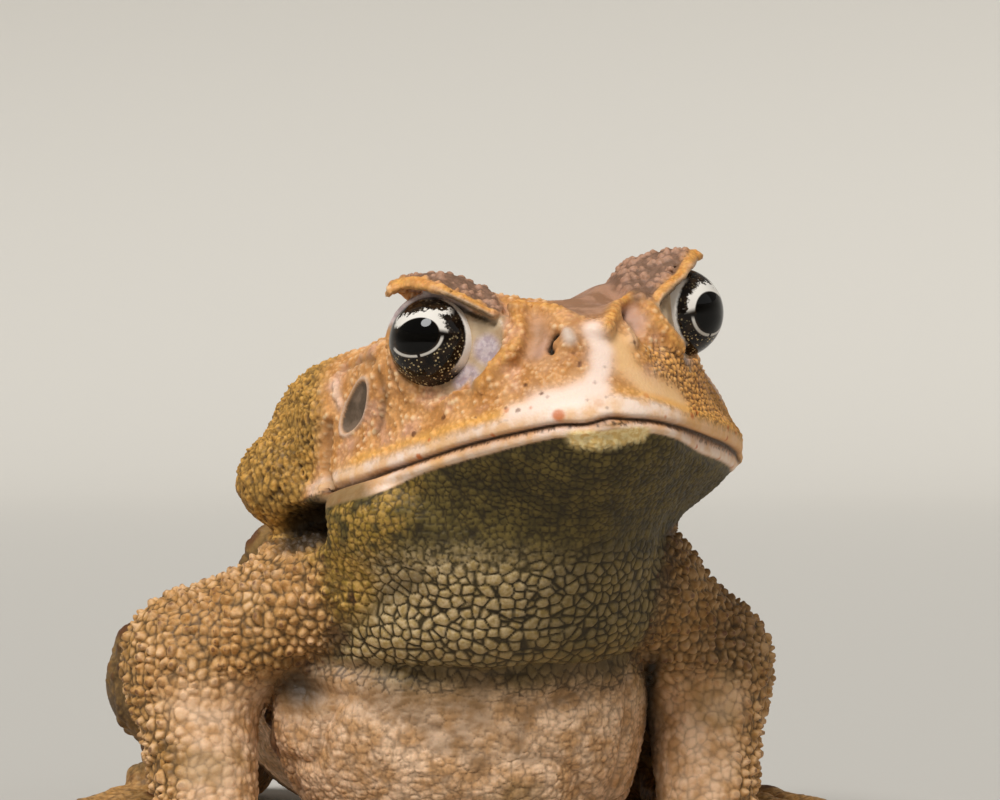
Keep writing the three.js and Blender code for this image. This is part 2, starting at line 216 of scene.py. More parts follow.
def upper_head(h):
    m, e = mirrored(h), from_eye(h)
    x, q, z = m.T
    up = np.maximum(z, 0) / SNOUT_HEIGHT
    slope = SNOUT_LEAN + 5.5 * up**7
    d = mouth_outline(x, q) + SNOUT_LEAN * z + 14 * up**8
    d += 6 * fade(h[:, 0], 12, 20) * fade(z, 3, 12) * fade(q, 12, 24)
    d = d / np.sqrt((2 * x / MOUTH_CURVE) ** 2 + 1 + slope**2)
    d -= 0.7 * fade(q, 38, 32) * bell(z - 2.2, 2.2)
    d = common(d, -z, 1.8)
    d = common(d, q - HEAD_LENGTH, 14)

    # the brow is cut off along its crest, by the sloping roof of the head, and at its back end
    edge_q, edge_z = crest_edge(h)
    roof = 0.85 * (z - np.interp(x, *np.transpose(BROW_TOP)) - 0.12 * (q - 20))
    brow = common(common(blob(m, *BROW), 0.73 * (z - edge_z) - 0.68 * (q - edge_q), 1), roof, 0.6)
    brow = common(brow, 0.7 * (x + q - 43.2), 1.5)
    forehead = common(blob(m, *FOREHEAD), roof, 1)
    d = union(union(d, forehead, 1.5), brow, 2.5)
    d = by_side(h, {-1: union(d, blob(m, *TEMPLE), 3), 1: d})
    d += 1.2 * stroke(m, [(7, 7.5, 13.5), (9, 8, 10)], 2.2)

    # the socket is free inside the lids' opening and before a flat lid field, but under the brow
    angle, away = lid_angle(h)
    hood = 0.8 * (edge_z - 0.35 + 0.2 * (q - edge_q) - z)
    hood = np.maximum(hood, 7.2 - away)
    field = by_side(h, {side: e @ np.array(way) - far for side, (way, far) in LID_PLANE.items()})
    lid_edge = by_side(h, LID["opening"])
    open_cone = away * np.sin(np.radians(lid_edge - np.minimum(angle, lid_edge + 90)))
    reach = 9.2 + by_side(h, LID_REACH) * fade(e @ SNOUTWARD / away, 0.3, 0.8)
    d = common(d, union(np.minimum(hood, np.maximum(field, open_cone)), reach - away, 1), 0.5)
    d = common(d, -blob(m, *EYE_CORNER), 1)
    for routes, width, height in RIDGES:
        for route in routes.values():
            d -= height * stroke(h, route, width)
    opening = EYE_RADIUS * (np.cos(np.radians(angle)) - np.cos(np.radians(lid_edge)))
    lids = common(away - EYE_RADIUS - LID["thickness"], opening, 0.5)
    return union(d, lids, 1.2)


def lower_jaw(h):
    x, q, z = mirrored(h).T
    down = np.maximum(-z, 0)
    x = x * (1 + by_side(h, JAW_NARROWING) * down**2)
    slope = 0.5 + 2.2 * (down / JAW_DEPTH) ** 2
    under = mouth_outline(x, q) + 0.6 + 0.5 * down + 9.6 * (down / JAW_DEPTH) ** 3
    under += 3.4 * fade(h[:, 0], 8, 18)
    d = under / np.sqrt((2 * x / MOUTH_CURVE) ** 2 + 1 + slope**2)
    d -= 0.4 * fade(q, 38, 32) * bell(z + 2, 1.5)
    d = common(d, z + 0.1, 1.5)
    return common(d, q - HEAD_LENGTH + 4, 10)


def head(p):
    h = sagging(in_head(p))
    return union(union(upper_head(h), lower_jaw(h), 2.6), blob(h, *JOWL), 1.5)


# masses of the trunk from the shoulders back, then the chest and throat: centre, radii, pitch, blend
BELLY = [((2, 6, 44), (27, 22, 22), 0, 12), ((0, 32, 30), (35, 38, 28.5), -14, 12),
         ((-1, 64, 21), (31, 26, 22), 0, 12), ((0, -1, 24), (28, 17, 24), 0, 8),
         ((4, -12, 49), (22, 18, 17), 0, 8), ((4, -9, 37), (22, 15, 8), 0, 5)]
ARM_HOLLOWS = [((-25, -13, 27), (5, 5, 8), 3.5), ((26, -12, 22), (3.5, 12, 12), 4)]
NECK_HOLLOW = ((-24, -9, 49.6), (9, 8.5, 2.9), turned(roll=-15))     # between gland and shoulder


def trunk(p):
    d = np.full(len(p), 1e3)
    for centre, radii, pitch, blend in BELLY:
        d = union(d, blob(p, centre, radii, turned(pitch=pitch)), blend)
    for centre, radii, depth in ARM_HOLLOWS:
        d += depth * bell(off(p, centre, radii))
    return d


# poison glands: centre, radii, and the round low end with its radius
PAROTOID = {"right": ((-21.5, 8, 60.5), (7.5, 15, 10.5), (-26.5, 3, 55.8), 6.2),
            "left": ((23, 12, 64), (9, 16, 11), (26, 7, 58), 6.4)}


def gland(name):
    centre, radii, low_end, size = PAROTOID[name]
    turn = turned(yaw=-16 * SIDES[name], pitch=-34, roll=-22 * SIDES[name])
    return lambda p: union(blob(p, centre, radii, turn), bone(p, low_end, low_end, size, size), 5)


FORE_LEG = {"right": dict(shoulder=(-17, -5, 42), elbow=(-39.5, 2.8, 30), wrist=(-37.2, -7.5, 6)),
            "left": dict(shoulder=(25.2, -3, 39.4), elbow=(36.2, 5.6, 28.6), wrist=(34.9, -4.3, 6))}
ARM_RADII = (9.5, 8.6, 6.6)
FINGERTIPS = [(-15, -12), (-10, -23), (-2, -28), (7, -22)]     # from the wrist, inner first
FINGER, TOE = (2.6, 1.8), (3, 1.7)     # radii at the base and the tip
KNUCKLES = ((0.36, 0.35), (0.7, 0.3), (0.97, 0.45))      # places along a digit and their swellings


def limb(p, places, radii, blend):
    """A chain of bones, each starting a little thicker than the one before it ends."""
    d = bone(p, *places[:2], *radii[:2])
    for a, b, ra, rb in zip(places[1:], places[2:], radii[1:], radii[2:]):
        d = union(d, bone(p, a, b, ra + 0.6, rb), blend)
    return d


def digits(p, lines, base, tip):
    """Fingers or toes, each with two soft swellings at its joints and a round pad at its tip."""
    d = np.full(len(p), 1e3)
    low = p[:, 2] < 14
    for a, b in lines:
        a, b = np.array(a, float), np.array(b, float)
        digit = bone(p[low], a, b, base, tip)
        for place, size in KNUCKLES:
            digit -= size * bell(off(p[low], a + place * (b - a)), 2.6)
        d[low] = union(d[low], digit, 1.2)
    return d


def fingers(name):
    side, wrist = SIDES[name], FORE_LEG[name]["wrist"]
    palm = (wrist[0] - side, wrist[1] - 7, 3.4)
    return palm, [((palm[0] + 0.3 * side * x, palm[1] - 2, 2.2),
                   (wrist[0] + side * x, wrist[1] + y, 1.5)) for x, y in FINGERTIPS]


def arm(name):
    bones = list(FORE_LEG[name].values())
    palm, lines = fingers(name)

    def field(p):
        hand = union(blob(p, palm, (7.5, 8.5, 4.2)), digits(p, lines, *FINGER), 1.2)
        return union(limb(p, bones, ARM_RADII, 5), hand, 3)
    return field, bones + [end for start, end in lines]


HIND_LEG = dict(hip=(14, 74, 25), knee=(42, 38, 24), heel=(30, 84, 6.5), instep=(44, 60, 4.6))
LEG_RADII = (14, 9.5, 6, 5)
TOE_TIPS = [(41, 43), (46, 33), (53, 24), (62, 15), (66, 33)]  # inner first


def leg(name):
    side = SIDES[name]
    bones = [np.array(at) * [side, 1, 1] for at in HIND_LEG.values()]
    lines = [((side * (39 + 2.6 * i), 60 - i, 2.4), (side * x, y, 1.4))
             for i, (x, y) in enumerate(TOE_TIPS)]

    def field(p):
        return union(limb(p, bones, LEG_RADII, 2), digits(p, lines, *TOE), 2)
    return field, bones + [end for start, end in lines]


def armpit(p):
    """The blend between arm and trunk, wide at the shoulder and tight below."""
    return 2 + 5 * np.clip((p[:, 2] - 26) / 16, 0, 1)


SKULL = [LIP + HEAD_TURN @ at for at in ((0, 0, 0), (-30, 30, 0), (30, 30, 0), (0, 54, 24), (0, 20, -24))]


def body(p):
    d = trunk(p)
    for name in SIDES:
        centre = np.array(PAROTOID[name][0])
        d = joined(p, d, gland(name), [centre - 16, centre + 16], 2)
        d = joined(p, d, *arm(name), armpit)
        d = joined(p, d, *leg(name), 2.5)
    d = joined(p, d, head, SKULL, 7)
    d = common(d, -blob(p, *NECK_HOLLOW), 2)
    return np.maximum(d, -p[:, 2])


# the hide is first laid over the body as a net of even quads
STEP = 1.0
LOW, HIGH = np.array([-80, -66, -4]), np.array([80, 104, 104])


def sampled(field, step, coarse=4):
    """A field on a lattice, worked out finely only near the surface."""
    cells = np.ceil((HIGH - LOW) / (step * coarse)).astype(int)
    shape = cells * coarse + 1
    rough = field(LOW + np.indices(cells + 1).reshape(3, -1).T * step * coarse).reshape(cells + 1)
    nearest = [np.minimum((np.arange(n) + coarse // 2) // coarse, n // coarse) for n in shape]
    full = rough[np.ix_(*nearest)]
    close = np.argwhere(np.abs(full) < step * coarse * 2.2)
    for part in np.array_split(close, len(close) // 200000 + 1):
        full[tuple(part.T)] = field(LOW + part * step)
    return full


def net(full, step):
    """Quads round the zero surface of a field on a lattice, one corner in each cell it crosses."""
    inside = full < 0
    nx, ny, nz = full.shape
    corners = list(product((0, 1), repeat=3))
    count = sum(inside[i:nx - 1 + i, j:ny - 1 + j, k:nz - 1 + k].astype(int) for i, j, k in corners)
    cells = np.argwhere((count > 0) & (count < 8))
    number = -np.ones((nx - 1, ny - 1, nz - 1), int)
    number[tuple(cells.T)] = np.arange(len(cells))
    total, crossings = np.zeros((len(cells), 3)), np.zeros(len(cells))
    for a, axis in product(corners, range(3)):
        if a[axis]:
            continue
        b = np.array(a)
        b[axis] = 1
        va, vb = full[tuple((cells + a).T)], full[tuple((cells + b).T)]
        hit = (va < 0) != (vb < 0)
        t = va[hit] / (va[hit] - vb[hit])
        total[hit] += np.array(a) + t[:, None] * (b - a)
        crossings[hit] += 1
    points = LOW + (cells + total / crossings[:, None]) * step
    quads = []
    for axis, outward in product(range(3), (True, False)):
        here, there = [slice(1, -1)] * 3, [slice(1, -1)] * 3
        here[axis], there[axis] = slice(0, -1), slice(1, None)
        a, b = inside[tuple(here)], inside[tuple(there)]
        edge = np.argwhere((a != b) & (a == outward)) + 1
        edge[:, axis] -= 1
        u, w = np.eye(3, dtype=int)[[(axis + 1) % 3, (axis + 2) % 3]]
        quad = np.stack([number[tuple((edge - offset).T)] for offset in (u + w, w, 0 * u, u)], 1)
        quads.append(quad if outward else quad[:, ::-1])
    return points, np.concatenate(quads)


def normals(points, quads):
    """Outward normals of a net, each quad counting by its size."""
    a, b, c, d = points[quads].transpose(1, 0, 2)
    facing = np.cross(c - a, d - b)
    total = np.column_stack([np.bincount(quads.ravel(), np.repeat(facing[:, i], 4), len(points))
                             for i in range(3)])
    return total / np.maximum(np.linalg.norm(total, axis=1), 1e-12)[:, None]


def refined(points, quads, chosen):
    """Parts each chosen quad in four. Returns the points, the quads, and the faces beside them."""
    following = np.roll(quads, -1, axis=1)
    ends = np.sort(np.stack([quads, following], 2).reshape(-1, 2), axis=1)
    edges, edge_of = np.unique(ends, axis=0, return_inverse=True)
    edge_of = edge_of.reshape(-1, 4)
    split = np.zeros(len(edges), bool)
    split[edge_of[chosen].ravel()] = True
    middle = len(points) + np.cumsum(split) - 1
    centre = len(points) + split.sum() + np.arange(chosen.sum())
    points = np.concatenate([points, points[edges[split]].mean(1), points[quads[chosen]].mean(1)])
    mid = middle[edge_of[chosen]]
    four = [np.column_stack([quads[chosen][:, i], mid[:, i], centre, mid[:, i - 1]])
            for i in range(4)]
    others = quads[~chosen]
    ring = np.stack([others, middle[edge_of[~chosen]]], 2).reshape(-1, 8)
    taken = np.stack([np.ones_like(others, bool), split[edge_of[~chosen]]], 2).reshape(-1, 8)
    return points, np.concatenate(four), others, ring, taken


def settled(points, quads):
    """Moves a net's corners along its normals onto the body."""
    return points - np.clip(body(points), -1, 1)[:, None] * normals(points, quads)


points, quads = net(sampled(body, STEP), STEP)
points = settled(settled(points, quads), quads)
points, quads = refined(points, quads, np.ones(len(quads), bool))[:2]
points = settled(points, quads)

# on the front and the head, which are seen from close by, the net is twice as fine again
middles = points[quads].mean(1)
facing = normals(points, quads)[quads].mean(1)
close_up = (middles[:, 1] < 14 + 0.35 * middles[:, 2]) & (middles[:, 2] > 8)
close_up &= (facing[:, 1] < 0.45) | (middles[:, 2] > 60)
points, small_quads, large_quads, ring, taken = refined(points, quads, close_up)
all_quads = np.concatenate([small_quads, large_quads])
points = settled(points, all_quads)
out = normals(points, all_quads)


# Growths on the hide: every one stands at a seed of its own, scattered over a lattice
def hashed(cell, seed):
    """A number from 0 to 1 for each cell of a lattice."""
    n = cell @ np.array([73856093, 19349663, 83492791]) + seed * 265443576
    n = (n ^ (n >> 13)) * 1274126177
    n ^= n >> 16
    return (n & 0xFFFFFF) / 0x1000000


def noise(p, size, seed=0):
    """Smooth noise from -1 to 1 with features of a size."""
    q = p / size
    cell = np.floor(q).astype(np.int64)
    f = q - cell
    f = f * f * (3 - 2 * f)
    total = np.zeros(len(p))
    for corner in product((0, 1), repeat=3):
        weight = np.prod(np.where(corner, f, 1 - f), axis=1)
        total += weight * hashed(cell + corner, seed)
    return 2 * total - 1


def seeds(p, size, seed):
    """For the 27 cells round each point: the distance to the cell's seed, and the seed's number."""
    q = p / size
    cell = np.floor(q).astype(np.int64)
    for step in product((-1, 0, 1), repeat=3):
        there = cell + step
        place = there + 0.15 + 0.7 * np.column_stack([hashed(there, seed + i) for i in range(3)])
        yield np.linalg.norm(q - place, axis=1), hashed(there, seed + 3)


def pavement(p, size, seed=0):
    """Close-set granules: a dome on each, the gaps between them, and the pits where three meet."""
    first, second, third = np.full((3, len(p)), 9.0)
    for distance, number in seeds(p, size, seed):
        third = np.minimum(third, np.maximum(distance, second))
        second = np.minimum(second, np.maximum(distance, first))
        first = np.minimum(first, distance)
    dome = 1 - (1 - np.clip((second - first) / 0.55, 0, 1)) ** 2
    return dome, bell(second - first, 0.14), bell(third - first, 0.2)


def warts(p, size, share=0.6, seed=0):
    """Scattered warts: their height, 1 at a full one's tip."""
    height = np.zeros(len(p))
    for distance, number in seeds(p, size, seed):
        radius = 0.3 + 0.35 * number / share
        height = np.maximum(height, (number < share) * (1 - (distance / radius) ** 2))
    return height


def bent(p, amount, size, seed):
    """Places pushed about by noise, which hides the growths' lattice."""
    return p + amount * np.column_stack([noise(p, size, seed + i) for i in range(3)])


relief = np.zeros(len(points))
# the first of these marks is painted shade, laid in gaps, pits, creases, nostrils, folds and hollows
marks = {name: np.zeros(len(points)) for name in ("painted_shade", "tip", "pit", "cream", "bib")}


def grown(mask, form):
    """Adds a form to the relief where a mask lets it: form takes places and gives heights."""
    here = mask > 0.02
    if here.any():
        relief[here] += mask[here] * form(points[here], here)


def marked(name, values, here=slice(None)):
    """Raises a mark, which colours the hide, to at least these values."""
    marks[name][here] = np.maximum(marks[name][here], values)


# which part of the toad each place belongs to: 1 on it, fading to 0 off it
LIPS_END = (42, 37)                    # from back to front, where lips and jaw begin
h = sagging(in_head(points))
m = mirrored(h)
side_x, back_q, up_z = h.T
x, y, z = points.T
trunk_d, head_d = trunk(points), head(points)
arm_d = np.minimum(*(arm(name)[0](points) for name in SIDES))
leg_d = np.minimum(*(leg(name)[0](points) for name in SIDES))
gland_d = np.minimum(*(gland(name)(points) for name in SIDES))
digit_d = np.minimum(*(digits(points, fingers(name)[1], *FINGER) for name in SIDES))
on_head = fade(trunk_d - head_d, -2.5, 1.5)
on_gland = np.where(x < 0, fade(gland_d, 4, 2), fade(gland_d, 1.2, 0.1)) * (z > 45)
on_gland *= 1 - fade(back_q, 36.8, 35.3) * on_head
on_arm = fade(trunk_d - arm_d, -3, 2) * fade(arm_d, 3.2, 1.6) * (1 - on_gland) * (y < 25)
on_leg = fade(trunk_d - leg_d, -2, 2) * (y > 15)
under = fade(-0.8 * out[:, 1] - 0.5 * out[:, 2], 0.0, 0.35) * (y < 22)
under = np.maximum(under, fade(-out[:, 2], 0.1, 0.5))
upper = on_head * fade(up_z, -0.4, 0.2)
jaw = on_head * fade(up_z, -0.1, -0.6) * fade(back_q, *LIPS_END)
front = np.clip(jaw + under * (1 - jaw), 0, 1) * (1 - upper)
# painted shade: the neck between the jaw and the shoulder, on both sides, takes the throat's dark colour
neck_shade = fade(up_z, -1, -2.5) * fade(z, 40, 44) * fade(y, 8, 0) * fade(out[:, 1], 0.85, 0.5) * (1 - upper)
front = np.maximum(front, neck_shade) * (1 - on_arm) * (1 - on_gland) * (1 - on_leg)
face = np.flatnonzero(on_head > 0.01)


def face_line(route, width):
    """A stroke in the head's frame, worked out on the head only."""
    value = np.zeros(len(points))
    value[face] = stroke(h[face], route, width)
    return value * on_head


def face_lines(routes, width):
    return np.max([face_line(route, width) for route in routes], axis=0)


def face_dots(places, radius):
    """Soft-edged dots in the head's frame."""
    value = np.zeros(len(points))
    for place in places:
        dot = fade(off(h[face], place), radius * 1.35, radius * 0.65)
        value[face] = np.maximum(value[face], dot)
    return value


# lids: a narrow strip round the eye that widens to a bare field in front of it
angle, away = lid_angle(h)
e = from_eye(h)
before = e @ SNOUTWARD / away
crest = face_lines(CREST.values(), 0.85)
ridges = np.maximum(crest, face_lines(CANTHUS.values(), 0.8))
ridges = np.maximum(ridges, 0.95 * face_lines(PREOCULAR.values(), 0.8)) * upper
over_crest = up_z - crest_edge(h)[1]
from_globe = away - EYE_RADIUS
lid_strip = fade(from_globe, 2.0, 1.3) * (1 - fade(before, 0.2, -0.2) * fade(e[:, 2], 4, 2))
lid_field = fade(from_globe, 5.6, 4.6) * fade(before, 0.4, 0.7)
on_lid = np.maximum(lid_strip, lid_field) * upper * (1 - ridges) * fade(over_crest, 0.2, -0.5)

# lips: a cream band with an orange border over it, and a thinner one on the lower jaw
snout_tip = bell(side_x + 1, 8)
band_top = 2.0 + 1.6 * snout_tip
lip_band = fade(up_z, band_top + 1, band_top - 0.4) * upper * fade(back_q, *LIPS_END)
lower_edge = -1.3 - 0.3 * fade(side_x, -8, -18) - 1.4 * fade(side_x, -21, -30)
lower_lip = fade(up_z, lower_edge - 0.35, lower_edge + 0.25) * jaw
lower_lip *= 1 - 0.85 * fade(side_x, -26, -29.5)
lips = np.maximum(lip_band, lower_lip)
lip_glow = fade(up_z, band_top - 0.6, band_top + 0.6) * fade(up_z, band_top + 2.6, band_top + 1.0)
lip_glow *= upper * (1 - 0.7 * snout_tip) * fade(back_q, 36, 28)

# ear drums: thin leaning ovals, each in a fine raised rim
EAR = dict(centre=(27.3, 30.5, 10.6), upward=(-1.2, -2.8, 3.1), across=(-0.68, -2.1, -0.9))
half_axes = np.array([EAR["upward"], EAR["across"]]).T
ear = np.full(len(points), 9.0)        # 0 in a drum's middle, 1 at its edge, much more elsewhere
ear[face] = np.hypot(*np.linalg.lstsq(half_axes, (m[face] - EAR["centre"]).T, rcond=None)[0])
ear[face] += 9 * (1 - upper[face])
ear += 9 * (off(m, EAR["centre"]) > 9)
rim = bell(ear - 1.1, 0.1)
on_drum = fade(ear, 1.25, 1.1)
digit = fade(digit_d, 1.5, 0.3) * (z < 9)
brow_top = upper * fade(over_crest, -0.1, 0.7) * fade(back_q, 34, 31) * fade(m[:, 0], 7.5, 10)
brow_top *= 1 - fade(crest, 0.2, 0.5)

# snout: nostrils with a pearly swelling before them, a pale stripe, and smooth hollows by the ridges
NOSTRILS = [[(-4.3, 4.9, 13.7), (-5.3, 5.2, 13.1), (-5.8, 4.9, 12.2), (-5.6, 4.4, 11.5)],
            [(7.4, 8.6, 16.5), (6.5, 7.6, 15.2)]]
SWELLINGS = [([(-2.9, 4.2, 13.1), (-2.9, 3.7, 12.2)], 1.25, 1.0, 1),     # radius, height, pearliness
             ([(6.4, 6.8, 13.8), (5.9, 4.5, 11.3)], 1.2, 0.7, 0.3),
             ([(9.1, 8.6, 15.4), (9.4, 7.9, 12.8)], 0.9, 0.5, 0)]
STRIPE = [(0.2, 3.1, 13.3), (1.1, 2.8, 10.4), (0.1, 1.9, 7.5), (-1.8, 1.1, 5.1), (-4.6, 0.9, 3.6),
          (-8, 2.5, 3.5), (-12, 5, 3.4)]
STRIPE_FOOT = [(-1, 1, 5), (-5.5, 1.3, 4.3), (-9.5, 3.5, 3.6)]
LORE = [[(-6.2, 7, 16.8), (-6.4, 6.2, 14.2), (-7.3, 5.6, 11.5)], [(8.2, 9.3, 16.8), (7.7, 8, 14)]]
GLOW = [(3.9, 3.2, 11.5), (4.2, 2.6, 8), (6.5, 2.6, 5), (12, 6, 4.2)]
for route in NOSTRILS:
    nostril = face_line(route, 0.6)
    relief -= 1.6 * nostril
    # painted shade inside the nostril
    marked("painted_shade", fade(nostril, 0.35, 0.8))
for route, radius, lift, pearl in SWELLINGS:
    swelling = face_line(route, radius)
    relief += lift * swelling
    marked("cream", 0.8 * pearl * fade(swelling, 0.2, 1))
stripe = np.maximum(face_line(STRIPE, 1.9), face_line(STRIPE_FOOT, 2.5))
marks["stripe"] = fade(stripe + 0.12 * noise(points, 2, 47), 0.1, 1.0) * upper
lore = marks["lore"] = face_lines(LORE, 1.7) * upper * (1 - ridges)
relief -= 0.6 * lore * (1 - marks["cream"])
forehead = upper * fade(up_z, 14.5, 16.5) * fade(side_x, -3, -1) * fade(side_x, 11, 8.5)
forehead *= (back_q < 30) * (1 - ridges)
marks["forehead"] = forehead * (1 - lore)
snout_glow = face_line(GLOW, 1.9) * upper
smooth_face = np.maximum.reduce([marks["stripe"], lore, snout_glow, marks["cream"], 0.6 * forehead])
bare = (1 - on_lid) * (1 - lips) * (1 - on_drum) * (1 - fade(smooth_face, 0.1, 0.5))
far_cheek = upper * bare * fade(side_x, 6, 10) * fade(up_z, 12, 10) * (1 - ridges)
far_lip = upper * fade(side_x, 7, 15) * fade(up_z, band_top + 2.6, band_top + 1)
marks["gold_and_highlight"] = np.maximum.reduce([lip_glow, 0.35 * snout_glow, far_lip])
marks["pale"] = 0.9 * snout_glow


# head: granules with pale tops all over, sharp ones on the brows, and none on the lips
def face_bumps(p, here):
    bump, small, patch = warts(p, 1.05, 0.75, 11), warts(p, 0.62, 0.8, 12), noise(p, 4, 14)
    marked("pale", bare[here] * fade(bump, 0.3, 0.9) * (0.45 + 0.55 * fade(patch, -0.4, 0.3)), here)
    marked("pale", 0.5 * bare[here] * fade(small, 0.3, 0.9) * fade(patch, 0.2, -0.2), here)
    # painted shade round the foot of each bump
    marked("painted_shade", 0.12 * fade(np.maximum(bump, small), 0.1, 0.0), here)
    return 0.32 * bump + 0.14 * small + 0.16 * noise(p, 2.2, 13)


def far_bumps(p, here):
    dome, gap, pit = pavement(p, 0.8, 15)
    marked("gold_and_highlight", 0.9 * far_cheek[here] * fade(dome, 0.5, 1), here)
    # painted shade in the gaps and pits between the granules
    marked("painted_shade", far_cheek[here] * (0.4 * gap + 0.3 * pit), here)
    return 0.4 * dome


def brow_bumps(p, here):
    bump = warts(p, 1.3, 0.8, 21)
    # painted shade round the foot of each wart
    marked("painted_shade", 0.35 * fade(bump, 0.2, 0.0) * brow_top[here], here)
    return 0.55 * bump + 0.15 * warts(p, 0.8, 0.7, 22)


grown(upper * bare * (1 - 0.6 * ridges) * (1 - brow_top) * (1 - far_cheek), face_bumps)
grown(far_cheek, far_bumps)
grown(brow_top * (1 - 0.5 * forehead), brow_bumps)
grown(on_lid, lambda p, here: 0.05 * np.sin(angle[here] * 0.9 + 3 * noise(p, 3, 41))
      + 0.12 * noise(p, 1.6, 42) * fade(from_globe[here], 0.8, 1.6))
relief += 0.3 * noise(points, 2.5, 43) * ridges
relief += (0.35 * rim - 0.4 * fade(ear, 1.0, 0.7)) * upper
marks["ridge"] = ridges
# painted shade in a band under the overhanging edge of each crest
shade = fade(np.abs(over_crest + 0.8), 0.6, 0.2) * fade(m[:, 0], 18, 16) * fade(m[:, 0], 10.5, 12)
marked("painted_shade", 0.75 * shade * upper * (1 - crest) * (away < 11))
marks["brow"] = brow_top
marks["lip"] = lips * (1 - 0.7 * far_lip)
marks["lid"] = on_lid
LILAC = [([(-12.2, 12, 13.7), (-15, 14.5, 10.3)], 2), ([(16.4, 12.1, 8.8)], 1.6)]
lilac = 0.8 * fade(from_globe, 1.5, 1.0) * fade(e[:, 2], 2, 4)
for places, radius in LILAC:
    lilac = np.maximum(lilac, face_dots(places, radius))
marks["lilac"] = on_lid * lilac
marks["drum"] = fade(ear, 1.04, 0.94) * upper
marked("cream", 0.6 * rim * upper)

# mouth: a thin dark line, its own reddish brown with painted shade in it, with a notch at the snout's tip,
# round to the mouth's corners
MOUTH_END = 36.8
notch = 0.55 * bell(side_x + 0.2, 2.2) - 0.2 * bell(side_x + 4, 2)
mouth_z = up_z - notch
mouth = fade(back_q, MOUTH_END + 1, MOUTH_END - 1.5) * on_head
relief -= 0.9 * mouth * bell(mouth_z, 0.45)
marks["mouth"] = mouth * bell(mouth_z, 0.55)
# painted shade in the mouth's line, in place of the other painted shade close to it
marks["painted_shade"] *= 1 - mouth * (np.abs(mouth_z) < 1)
marked("painted_shade", 0.7 * mouth * fade(np.abs(mouth_z), 0.4, 0.1))
relief += 0.3 * lower_lip * bell(mouth_z + 1.1, 0.6)

# creases of the head, with widths and depths: before the ear drum, over it, between it and the
# gland, each on both sides, and under each crest
CREASES = [([(-24.8, 24.7, 14.3), (-24.4, 23.9, 10.8), (-25.6, 26.6, 6)], 0.7, 0.3),
           ([(-27.2, 35.8, 17.6), (-25.2, 29.3, 17.4), (-25, 26.5, 16)], 0.9, 0.6),
           ([(-30.3, 36.5, 9.4), (-30.8, 37.1, 5.9), (-31.4, 37.6, 3.2), (-31.8, 35.1, 0.4)], 0.8, 1.0)]
CREASES += [([(-x, q, z) for x, q, z in route], *sizes) for route, *sizes in CREASES]
for route, size in (([(-17.5, 13, 23)] + CREST[-1][5:], 0.5), (CREST[1][2:6], 0.4)):
    CREASES.append(([(x, q, z - 1.2) for x, q, z in route], size, size))
for route, width, depth in CREASES:
    crease = face_line(route, width)
    relief -= depth * crease
    # painted shade in each crease
    marked("painted_shade", 0.35 * crease)
FOLD = [(-28.6, 35.8, 14.9), (-28.7, 35.1, 13.4), (-28.4, 34.2, 11.6)]
relief += 0.5 * face_line(FOLD, 0.5)
marks["stripe"] = np.maximum(marks["stripe"], 0.5 * face_line(FOLD, 1.0))

# spots: rusty freckles on the lips, dark specks on the snout, pores over the lip, one large rusty spot
RUST, SMALL_RUST = (-6.8, 1.3, 1.4), (-14.6, 7.5, 0.5)
SPECKS = [(-2.3, 2.5, 8.9), (-2.5, 2.5, 8.5), (-8, 3.6, 5.2), (-9.5, 5.3, 7), (6, 4.2, 11)]
FAINT = [(-2.7, 0.6, 3.4), (-1.0, 1.5, 5.8), (-0.1, 0.4, 3.6), (0.9, 2.1, 7.9), (-2.9, 3.1, 10.4),
         (-0.4, -0.2, 2)]
marks["spot"] = np.maximum(face_dots([RUST], 0.85), face_dots([SMALL_RUST], 0.3))
freckled = np.clip(lips + lip_glow, 0, 1) * (1 - 0.8 * snout_tip)
here = freckled > 0.02
marked("spot", freckled[here] * fade(warts(points[here], 2.1, 0.4, 34), 0.66, 0.84), here)
marked("tip", face_dots(SPECKS, 0.3))
marked("tip", 0.5 * face_dots(FAINT, 0.25))
pored = upper * fade(up_z, 2.6, 3.2) * fade(up_z, 7.5, 5) * (1 - snout_tip) * (back_q < 35)
here = pored > 0.02
marked("tip", pored[here] * fade(warts(points[here], 1.5, 0.4, 35), 0.72, 0.86), here)
CHIN = [(-4.8, 1.2, -1.9), (4.2, 1.2, -1.5)]
streaks = noise(h * [2.4, 1, 0.5], 1.3, 45)
chin = fade(face_line(CHIN, 1.8), 0.2, 0.8) * fade(up_z, -0.5, -1.0)
marks["chin"] = chin * (1 + 0.2 * streaks)
relief += 0.15 * chin * streaks


# throat, chest and belly: a pavement that grows coarser downwards, and loose folds
def throat_granules(p, here):
    fine, fine_gap = pavement(p, 1.0, 51)[:2]
    coarse, coarse_gap = pavement(p * [1, 1, 1.15], 1.75, 52)[:2]
    share = fade(p[:, 2] - 0.12 * p[:, 0], 51, 42)
    # painted shade in the gaps between the granules
    marked("painted_shade", 0.62 * (1 - chin[here]) * (fine_gap * (1 - share) + coarse_gap * share), here)
    marked("bib", bib[here] * fade(fine * (1 - share) + coarse * share, 0.1, 0.6), here)
    return 0.22 * fine * (1 - share) + 0.4 * coarse * share + 0.35 * noise(p, 7, 53)


def chest_wrinkles(p, here):
    moved = bent(p, 1.2, 5, 57)
    coarse, gap = pavement(moved * [0.85, 1, 1.15], 1.45, 54)[:2]
    fine, fine_gap = pavement(p, 0.8, 55)[:2]
    # painted shade in the gaps between the granules and in the loose wrinkles
    marked("painted_shade", 0.26 * gap + 0.16 * fine_gap, here)
    loose = np.abs(noise(moved * [0.6, 1, 1], 7, 56))
    marked("painted_shade", 0.3 * fade(loose, 0.08, 0.0), here)
    return 0.2 * coarse + 0.1 * fine + 0.7 * fade(loose, 0, 0.35)


